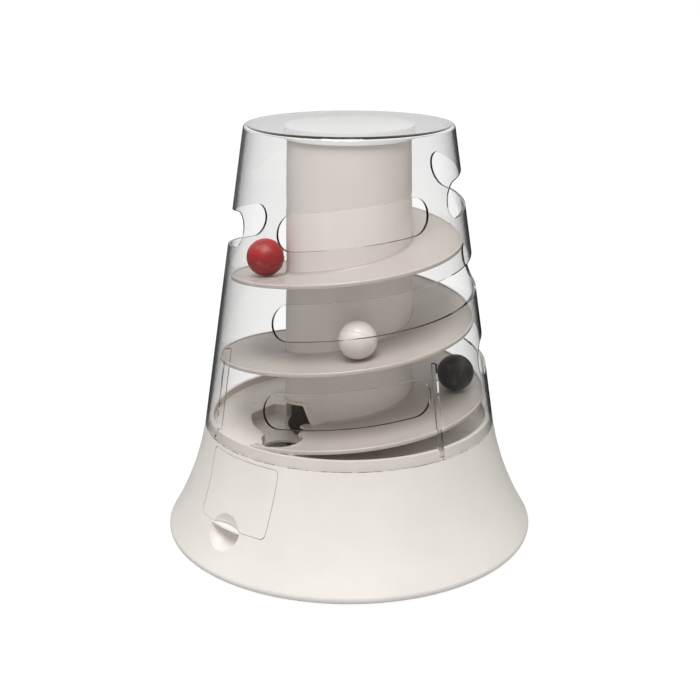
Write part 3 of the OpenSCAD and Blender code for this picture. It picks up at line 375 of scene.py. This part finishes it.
# Mouldings that show: a low gloss and a warm tone. The base's edges get no painted highlight, so that the
# gap round the hatch stays a dark line; the track's lip is painted much paler, a painted highlight where the
# thin lip catches the light.
WHITE_ABS = moulded("moulded_abs_warm_white", "#E9E5E0", 0.42, edge_polish_and_highlight=0.98)
GREY_ABS = moulded("moulded_abs_light_grey", "#E9E3DD", 0.38)
TRACK_ABS = moulded("moulded_abs_track_grey", "#BFB8B1", 0.36, wear_and_highlight=0.9, edge_polish_and_highlight=1.5)
CAP_ABS = moulded("moulded_abs_cap_white", "#F5F3F1", 0.4)
BUTTON_ABS = moulded("moulded_abs_mid_grey", "#9A9A9A", 0.4)

# Mouldings inside the base: duller black, and the slippery, slightly yellow white of acetal.
BLACK_ABS = moulded("moulded_abs_black", "#1B1B1C", 0.5, wear_and_highlight=0.2)
ACETAL = moulded("moulded_acetal", "#E4E2DA", 0.33, grain_mm=0.9, bump=0.06)

# Rubber feet: the only fully matt surface.
RUBBER = rubber("moulded_rubber_black", "#161616")

# Balls: the strong colours of the toy, waxy rather than shiny.
RED_PP = blown("blown_polypropylene_red", "#A6161B", 0.4, 0.25)
WHITE_PP = blown("blown_polypropylene_white", "#E2DBD6", 0.36, 0.06)
BLACK_PP = blown("blown_polypropylene_black", "#2A2725", 0.42, 0.3)

# Electrical parts: thin glossy sleeve round the cells, and lacquered board.
JACKET = moulded("cell_shrink_sleeve", "#27402E", 0.3, grain_mm=2.0, bump=0.05, spread=0.12)
BOARD = moulded("solder_mask_green", "#1E5A38", 0.35, grain_mm=1.2, bump=0.1, spread=0.15)

# Metal parts: bright steel and warm brass.
STEEL = metal("turned_steel", "#B9BABD", 0.3)
BRASS = metal("turned_brass", "#C59B52", 0.3, stain="#7A6238")

# Cover: as good as invisible face on, with dark outlines, partly painted shade in its colour where its walls
# turn edge on.
CLEAR = clear_styrene()


# ---- the forms that the pieces follow

def cone_r(z):
    """Outer radius of the clear cover at a height."""
    return SEAM_R + (TOP_R - SEAM_R) * (z - SEAM_Z) / (TOP_Z - SEAM_Z)


def column_r(z):
    """Outer radius of the column at a height."""
    (low, foot), (high, top) = COLUMN_FOOT, COLUMN_TOP
    return foot + (top - foot) * (z - low) / (high - low)


def track_z(angle):
    """Height of the running surface; the lowest turn sags a little."""
    sag = 0
    if 0 < angle < TRACK_SAG_TURN:
        sag = TRACK_SAG * (1 - math.cos(2 * math.pi * angle / TRACK_SAG_TURN)) / 2
    return TRACK_FRONT_Z + TRACK_RISE * angle / 360 - sag


def track_out(angle):
    """Outer radius of the track; its gap to the cover grows from 2.2 mm at the low end to 4.5 mm above."""
    way_up = (angle - TRACK_START) / (TRACK_END - TRACK_START)
    return cone_r(track_z(angle)) - COVER_WALL - 2.2 - 2.3 * way_up


def around(angle, r, z):
    """A place at an angle from the front, a distance from the middle and a height."""
    turn = math.radians(angle)
    return (r * math.sin(turn), -r * math.cos(turn), z)


# ---- modelling

def at_rest():
    """Leaves edit mode, with nothing selected."""
    if bpy.context.object and bpy.context.object.mode != "OBJECT":
        bpy.ops.object.mode_set(mode="OBJECT")
    bpy.ops.object.select_all(action="DESELECT")


def choose(piece):
    at_rest()
    bpy.context.view_layer.objects.active = piece
    piece.select_set(True)


def edit(piece):
    choose(piece)
    bpy.ops.object.mode_set(mode="EDIT")
    bpy.ops.mesh.select_all(action="SELECT")


def started(name):
    """Names the primitive that was just added."""
    piece = bpy.context.object
    piece.name = name
    piece.data.name = name
    return piece


def closed(piece, merge_mm=0.001):
    """Merges doubles, closes what is open and turns every face outwards."""
    edit(piece)
    bpy.ops.mesh.remove_doubles(threshold=merge_mm * MM)
    bpy.ops.mesh.select_all(action="SELECT")
    bpy.ops.mesh.delete_loose()
    bpy.ops.mesh.select_all(action="SELECT")
    bpy.ops.mesh.fill_holes(sides=0)
    bpy.ops.mesh.select_all(action="SELECT")
    bpy.ops.mesh.normals_make_consistent(inside=False)
    at_rest()
    return piece


def applied(piece, kind, settings):
    choose(piece)
    modifier = piece.modifiers.new(kind.lower(), kind)
    for key, value in settings.items():
        setattr(modifier, key, value)
    bpy.ops.object.modifier_apply(modifier=modifier.name)
    return piece


def joined(piece, tool, operation="DIFFERENCE"):
    """Cuts a tool out of a piece, joins it on with UNION, or keeps what both share with INTERSECT, and drops
    the tool."""
    applied(piece, "BOOLEAN", {"operation": operation, "solver": "MANIFOLD", "object": tool})
    bpy.data.objects.remove(tool)
    return piece


def placed(piece):
    """Puts the piece's place and turn into its mesh."""
    choose(piece)
    bpy.ops.object.transform_apply(location=True, rotation=True, scale=True)
    at_rest()
    return piece


def rounded(piece, width_mm, segments, limit=40):
    """Rounds the sharp edges, as a mould leaves them."""
    return applied(piece, "BEVEL", {"width": width_mm * MM, "segments": segments, "limit_method": "ANGLE",
                                    "angle_limit": math.radians(limit)})


def smooth(piece, angle):
    """Smooth shading, but for edges sharper than an angle."""
    choose(piece)
    bpy.ops.object.shade_smooth_by_angle(angle=math.radians(angle))
    at_rest()
    return piece


def even(piece):
    """Smooth shading in which the flat faces stay flat beside their rounded edges."""
    smooth(piece, 35)
    return applied(piece, "WEIGHTED_NORMAL", {"keep_sharp": True, "weight": 60})


def drawn_bar(name, rings):
    """A closed bar through a row of rings: a grid rolled onto them, its seam merged and its ends filled."""
    at_rest()
    count = len(rings[0])
    bpy.ops.mesh.primitive_grid_add(x_subdivisions=count, y_subdivisions=len(rings) - 1, size=1)
    bar = started(name)
    for row, ring in enumerate(rings):
        for column in range(count + 1):
            bar.data.vertices[row * (count + 1) + column].co = Vector(ring[column % count]) * MM
    return closed(bar)


def spun(name, outline, steps):
    """A round piece: the outline of its section, as radius and height, is spun about the upright axis."""
    at_rest()
    bpy.ops.mesh.primitive_circle_add(vertices=len(outline), radius=1)
    piece = started(name)
    for point, (r, z) in zip(piece.data.vertices, outline):
        point.co = (r * MM, 0, z * MM)
    edit(piece)
    bpy.ops.mesh.spin(steps=steps, angle=2 * math.pi, use_auto_merge=True, center=(0, 0, 0), axis=(0, 0, 1))
    return closed(piece)


def block(name, low, high):
    """A block between two corners."""
    at_rest()
    bpy.ops.mesh.primitive_cube_add(size=1)
    piece = started(name)
    for point in piece.data.vertices:
        point.co = [(high[i] if point.co[i] > 0 else low[i]) * MM for i in range(3)]
    return piece


def turned(piece, angle):
    """Turns a piece that was made pointing along +X to a direction from the front."""
    piece.rotation_euler = (0, 0, math.radians(angle - 90))
    return placed(piece)


def post(name, r, place, height):
    """A round bar that stands on a place."""
    at_rest()
    x, y, z = place
    bpy.ops.mesh.primitive_cylinder_add(vertices=64, radius=r * MM, depth=height * MM,
                                        location=(x * MM, y * MM, (z + height / 2) * MM))
    return placed(started(name))


def arc(x, z, r, start, end, steps):
    """Points of an arc in a section, from one angle to another."""
    return [(x + r * math.cos(math.radians(start + (end - start) * i / steps)),
             z + r * math.sin(math.radians(start + (end - start) * i / steps))) for i in range(steps + 1)]


# The body on which each node rides.
bodies = {name: body for body, names in frame["record"]["behaviour"]["bodies"].items() for name in names}


def belongs_to(piece, name, material):
    """A detail that rides with a node of the frame and has its finish."""
    piece.data.materials.clear()
    piece.data.materials.append(material)
    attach(piece, bodies[name])
    at_rest()


def stands_for(piece, name, material):
    """The finished piece takes the place of a node of the frame."""
    belongs_to(piece, name, material)
    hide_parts(name)


def softened(name, width_mm, limit=40, segments=2):
    """A copy of a node of the frame, its triangles merged and its edges rounded."""
    piece = bpy.data.objects.new(name + "_soft", frame["nodes"][name].data.copy())
    bpy.context.scene.collection.objects.link(piece)
    edit(piece)
    bpy.ops.mesh.remove_doubles(threshold=0.002 * MM)
    bpy.ops.mesh.select_all(action="SELECT")
    bpy.ops.mesh.dissolve_limited(angle_limit=math.radians(0.5))
    at_rest()
    rounded(piece, width_mm, segments, limit)
    return even(piece)


# ---- clear cover

def slot_tool(start, end):
    """The room of one paw slot: a bar that climbs round the cone, with round ends."""
    middle_z = SLOT_FRONT_Z + SLOT_RISE * (start + end) / 720
    cap = math.degrees(SLOT_HALF / cone_r(middle_z))
    shares = [1 - math.cos(math.pi / 2 * i / SLOT_END_STEPS) for i in range(1, SLOT_END_STEPS + 1)]
    ends = [(cap * share, SLOT_HALF * math.sqrt(share * (2 - share))) for share in shares]
    straight = end - start - 2 * cap
    count = round(straight)
    stations = [(start + reach, half) for reach, half in ends]
    stations += [(start + cap + straight * i / count, SLOT_HALF) for i in range(1, count)]
    stations += [(end - reach, half) for reach, half in reversed(ends)]
    rings = []
    for angle, half in stations:
        z = SLOT_FRONT_Z + SLOT_RISE * angle / 360
        r = cone_r(z)
        rings.append([around(angle, r - SLOT_REACH, z - half), around(angle, r + SLOT_REACH, z - half),
                      around(angle, r + SLOT_REACH, z + half), around(angle, r - SLOT_REACH, z + half)])
    return drawn_bar("slot_tool", rings)


def rib(angle):
    """A rib inside the cover, which drops into the seat ring."""
    turn = math.radians(angle)
    side_x, side_y = math.cos(turn) * RIB_WIDE / 2, math.sin(turn) * RIB_WIDE / 2
    rings = []
    for z in (RIB_FROM_Z, RIB_TO_Z):
        near, far = cone_r(z) - COVER_WALL - RIB_DEEP, cone_r(z) - COVER_WALL / 2
        ring = []
        for r, sign in ((near, -1), (far, -1), (far, 1), (near, 1)):
            x, y = around(angle, r, z)[:2]
            ring.append((x + sign * side_x, y + sign * side_y, z))
        rings.append(ring)
    return drawn_bar("rib", rings)


def make_cover():
    """The clear cone with its closed top, slots and ribs, every edge rounded so that it shows as a line."""
    lean = math.degrees(math.atan((SEAM_R - TOP_R) / (TOP_Z - SEAM_Z)))

    def edge(inset):
        """The rounded top edge of the outer skin, or of the inner one, which lies inside by the wall."""
        radius = COVER_EDGE - inset
        top = TOP_Z - inset
        x = cone_r(top - radius) - inset - radius / math.cos(math.radians(lean))
        return arc(x, top - radius, radius, lean, 90, 8 if inset == 0 else 4)

    outline = [(cone_r(SEAM_Z), SEAM_Z)] + edge(0) + [(0.001, TOP_Z), (0.001, TOP_Z - COVER_WALL)]
    outline += list(reversed(edge(COVER_WALL))) + [(cone_r(SEAM_Z) - COVER_WALL, SEAM_Z)]
    cover = spun("clear_cover_shell", outline, 360)
    closed(cover, 0.002)
    for angle in RIB_ANGLES:
        joined(cover, rib(angle), "UNION")
    for start, end in SLOTS:
        joined(cover, slot_tool(start, end))
    edit(cover)
    bpy.ops.mesh.remove_doubles(threshold=0.08 * MM)
    at_rest()
    rounded(cover, 1.2, 4, 50)
    even(cover)
    stands_for(cover, "clear_cover", CLEAR)


# ---- spiral track

def track_ring(angle):
    """The section of the track at an angle: a rounded lip outside, and a hollow corner against the column,
    which fades out towards both ends."""
    z = track_z(angle)
    inner = column_r(z) + 0.2
    outer = track_out(angle)
    fade = max(0.05, min(1.0, (angle + 28) / 10, (888 - angle) / 10))
    corner = 3.0 * fade
    section = [(inner, -TRACK_THICK), (inner + 8, -TRACK_THICK), (outer - 8, -TRACK_THICK)]
    section += arc(outer - 0.8, -TRACK_THICK + 0.8, 0.8, -90, 0, 3)
    section += arc(outer - LIP_WIDE / 2, LIP_HIGH - LIP_WIDE / 2, LIP_WIDE / 2, 0, 180, 8)
    section += [(outer - LIP_WIDE - 0.1, 0.1), (outer - LIP_WIDE - 0.35, 0), (outer - 8, 0)]
    section += arc(inner + corner + 0.2, corner, corner, -90, -180, 5)
    section += [(inner, corner)]
    return [around(angle, r, z + height) for r, height in section]


def soft_rims(piece, test, width_mm):
    """Rounds only the edges whose two ends pass a test."""
    mesh = piece.data
    weights = mesh.attributes.get("bevel_weight_edge")
    weights = weights or mesh.attributes.new("bevel_weight_edge", "FLOAT", "EDGE")
    inside = [test(point.co / MM) for point in mesh.vertices]
    for edge in mesh.edges:
        weights.data[edge.index].value = 1.0 if inside[edge.vertices[0]] and inside[edge.vertices[1]] else 0.0
    return applied(piece, "BEVEL", {"width": width_mm * MM, "segments": 2, "limit_method": "WEIGHT"})


def track_bar(name, start, end):
    """A part of the track in steps of about 2 degrees, its two ends rounded so that the seams show."""
    count = math.ceil((end - start) / 2)
    bar = drawn_bar(name, [track_ring(start + (end - start) * i / count) for i in range(count + 1)])

    def at_end(point):
        angle = math.degrees(math.atan2(point.x, -point.y))
        return any(abs((angle - side + 180) % 360 - 180) < 0.02 for side in (start, end))

    return soft_rims(bar, at_end, 0.8)


def add_pegs(piece, angles):
    """The pegs that hang the track on the column."""
    for angle in angles:
        z = track_z(angle) - TRACK_THICK / 2
        r = column_r(z)
        peg = block("peg", (r - 3.0, -2.5, z - 0.6), (r + 1.4, 2.5, z + 0.6))
        joined(piece, turned(peg, angle), "UNION")


def half_seam(angle):
    """Half the gap at a seam, as an angle."""
    return math.degrees(SEAM_GAP_HALF / track_out(angle))


def make_lower_track():
    """The lowest moulding, notched for the ribs of the cover, clear of the seat ring, and with the catch."""
    lower = track_bar("track_lower_moulding", TRACK_START, SEAMS[0] - half_seam(SEAMS[0]))
    for angle in RIB_ANGLES:
        # 0.4 mm clear of the rib's inner face and 0.6 mm of each side.
        on_track = angle + 360 if angle < TRACK_START else angle
        z = track_z(on_track)
        notch = block("notch", (cone_r(z + 3.3) - COVER_WALL - RIB_DEEP - 0.4, -2.1, z - 4.4),
                      (cone_r(z) + 9, 2.1, z + 3.3))
        joined(lower, turned(notch, angle))
    # The room of the seat ring of the deck, which stands outside a radius of 124.9 mm.
    ring_room = spun("ring_room", [(124.9, 100), (150, 100), (150, 114), (124.9, 114)], 180)
    joined(lower, ring_room)
    catches = [around(angle, r, CATCH_Z) for angle, r in CATCHES]
    for place in catches:
        joined(lower, post("catch", CATCH_R, place, 16))
    add_pegs(lower, PEGS[0])

    def at_catch(point):
        rims = [abs(math.dist(point.xy, place[:2]) - CATCH_R) for place in catches]
        return point.z < 124 and min(rims) < 0.02

    soft_rims(lower, at_catch, 0.5)
    stands_for(smooth(lower, 40), "track_lower", TRACK_ABS)


def make_middle_track():
    low, high = SEAMS
    middle = track_bar("track_middle_moulding", low + half_seam(low), high - half_seam(high))
    add_pegs(middle, PEGS[1])
    stands_for(smooth(middle, 40), "track_middle", TRACK_ABS)


def make_upper_track():
    """The top moulding, with the stop at its end."""
    upper = track_bar("track_upper_moulding", SEAMS[1] + half_seam(SEAMS[1]), TRACK_END)
    z = track_z(TRACK_END)
    stop = block("stop", (column_r(z) + 1.2, -2.4, z - TRACK_THICK / 2),
                 (track_out(TRACK_END) - 1.0, -0.4, z + 7.8))
    joined(upper, turned(rounded(stop, 0.8, 3), TRACK_END), "UNION")
    add_pegs(upper, PEGS[2])
    stands_for(smooth(upper, 40), "track_upper", TRACK_ABS)


# ---- balls

def make_ball(colour, material, lean):
    """A hollow ball blown in two halves: a fine groove runs round it."""
    angle, r = BALLS[colour]
    side = arc(0, 0, BALL_R, -90, -1.2, 22) + [(BALL_R - BALL_GROOVE, 0)] + arc(0, 0, BALL_R, 1.2, 90, 22)
    side[0], side[-1] = (0.001, -BALL_R), (0.001, BALL_R)
    ball = spun("ball_%s_shell" % colour, side, 72)
    x, y, z = around(angle, r, track_z(angle) + BALL_R + 0.5)
    ball.location = (x * MM, y * MM, z * MM)
    ball.rotation_euler = [math.radians(turn) for turn in lean]
    placed(closed(ball, 0.003))
    stands_for(smooth(ball, 60), "ball_" + colour, material)


# ---- mouldings of the base and the column

def window_plate(name, grow, low, from_r, to_r):
    """A plate with the outline of the column's window, pushed straight along the window's direction."""
    half = WINDOW_HALF + grow
    outline = [(-half, low), (half, low), (half, WINDOW_CORNER_Z + grow),
               (half - 0.32 * WINDOW_HALF, WINDOW_HIGH_Z + grow), (-half, WINDOW_LOW_Z + grow)]
    plate = drawn_bar(name, [[(r, u, z) for u, z in outline] for r in (from_r, to_r)])
    return turned(plate, WINDOW_ANGLE)


def make_window_rim():
    """The raised rim round the window: a skin over the column, kept only in a frame round the opening."""
    low = RECESS_Z + 0.2
    skin = [(column_r(z) + reach, z) for z, reach in ((low, -0.4), (low, 1.8), (136, 1.8), (136, -0.4))]
    rim = spun("column_window_rim", skin, 180)
    joined(rim, window_plate("rim_outline", 2.5, low - 1, 0, 80), "INTERSECT")
    joined(rim, window_plate("rim_opening", 0, low - 2, -1, 81))
    rounded(rim, 0.35, 2)
    belongs_to(even(rim), "column_tube", GREY_ABS)


def loose_middles(piece):
    """The places of a group's separate solids, seen from above."""
    left = set(range(len(piece.data.vertices)))
    near = {index: [] for index in left}
    for edge in piece.data.edges:
        a, b = edge.vertices
        near[a].append(b)
        near[b].append(a)
    middles = []
    while left:
        front = [left.pop()]
        solid = []
        while front:
            index = front.pop()
            solid.append(piece.data.vertices[index].co / MM)
            fresh = [other for other in near[index] if other in left]
            left.difference_update(fresh)
            front += fresh
        box = [(min(point[i] for point in solid) + max(point[i] for point in solid)) / 2 for i in range(2)]
        middles.append(tuple(box))
    return middles


def make_screws(name, head_down):
    """Screws with rounded heads and a cross recess for the driver."""
    screws = softened(name, 0.35)
    low, high = [corner[2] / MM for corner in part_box(name)]
    face = low if head_down else high
    for x, y in loose_middles(screws):
        for half_x, half_y in ((2.1, 0.45), (0.45, 2.1)):
            cross = block("cross", (x - half_x, y - half_y, face - 0.9), (x + half_x, y + half_y, face + 0.9))
            joined(screws, cross)
    stands_for(smooth(screws, 30), name, STEEL)


def make_ridges():
    """Ridges on the battery door for the finger that slides it."""
    low, high = [[value / MM for value in corner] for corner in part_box("battery_door")]
    x = (low[0] + high[0]) / 2
    for i in range(5):
        y = low[1] + 5 + 2.2 * i
        ridge = block("battery_door_ridge_%d" % (i + 1),
                      (x - 9, y - 0.6, low[2] - 0.5), (x + 9, y + 0.6, low[2] + 0.2))
        rounded(ridge, 0.45, 3)
        belongs_to(even(ridge), "battery_door", WHITE_ABS)


def make_button_ring():
    """A fine raised ring on the face of the power button, which a finger feels."""
    low, high = [[value / MM for value in corner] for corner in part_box("power_button")]
    z = (low[2] + high[2]) / 2
    ring = spun("power_button_ring", [(4.2, -0.3)] + arc(4.8, 0, 0.55, 180, 0, 8) + [(5.4, -0.3)], 64)
    ring.rotation_euler = (math.radians(-90), 0, 0)
    ring.location = (0, high[1] * MM, z * MM)
    belongs_to(smooth(placed(ring), 60), "power_button", BUTTON_ABS)


def make_hatch():
    """The hatch door, drawn a hair smaller than its solid, so that the gap round it shows as a dark line."""
    door = softened("hatch_door", 0.25)
    low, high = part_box("hatch_door")
    edit(door)
    bpy.ops.transform.resize(value=(0.992, 0.992, 0.992),
                             center_override=[(a + b) / 2 for a, b in zip(low, high)])
    at_rest()
    stands_for(door, "hatch_door", WHITE_ABS)


def make_mouldings():
    """The other mouldings and bought parts: the solids with their edges rounded, each by its width in mm."""
    for name, material, width in (
            ("base_shell", WHITE_ABS, 0.25), ("base_plate", WHITE_ABS, 0.4),
            ("battery_door", WHITE_ABS, 0.4), ("deck", GREY_ABS, 0.5), ("column_tube", GREY_ABS, 0.45),
            ("column_floor", GREY_ABS, 0.4), ("column_cap", CAP_ABS, 0.4), ("ball_chute", GREY_ABS, 0.4),
            ("rubber_feet", RUBBER, 1.0), ("power_button", BUTTON_ABS, 0.5), ("motor_cradle", BLACK_ABS, 0.3),
            ("battery_box", BLACK_ABS, 0.3), ("lift_shaft", STEEL, 0.5), ("motor_shaft", STEEL, 0.2),
            ("gear_motor", STEEL, 0.6), ("top_bush", BRASS, 0.2), ("bottom_bush", BRASS, 0.2),
            ("battery_cells", JACKET, 0.5), ("control_board", BOARD, 0.15), ("tact_switch", BLACK_ABS, 0.2)):
        stands_for(softened(name, width), name, material)
    stands_for(softened("lift_screw", 0.3, 60), "lift_screw", ACETAL)
    stands_for(softened("drive_gear", 0.15, 50), "drive_gear", ACETAL)
    stands_for(softened("motor_pinion", 0.15, 50), "motor_pinion", ACETAL)
    stands_for(softened("battery_contacts", 0.1), "battery_contacts", STEEL)


make_mouldings()
make_hatch()
make_screws("base_screws", True)
make_screws("deck_screws", True)
make_screws("cradle_screws", False)
make_screws("column_screws", False)
make_window_rim()
make_ridges()
make_button_ring()
make_lower_track()
make_middle_track()
make_upper_track()
make_cover()
make_ball("red", RED_PP, (24, -18, 0))
make_ball("white", WHITE_PP, (-35, 22, 0))
make_ball("black", BLACK_PP, (52, 30, 0))

add_camera()
add_world()
add_floor()
add_lamp("key", (-0.16, -0.75, 1.8), 25)
add_lamp("underside", (0.3, -0.6, -1.2), 14)
add_card("dark_card", "#0A0A0A", (0.62, 0.3, 0.18), 0.92, 0.38)
add_card("grey_card", "#3A3A3A", (-0.62, 0.3, -0.01), 0.92, 0.36)

bpy.context.scene.view_settings.view_transform = "Standard"
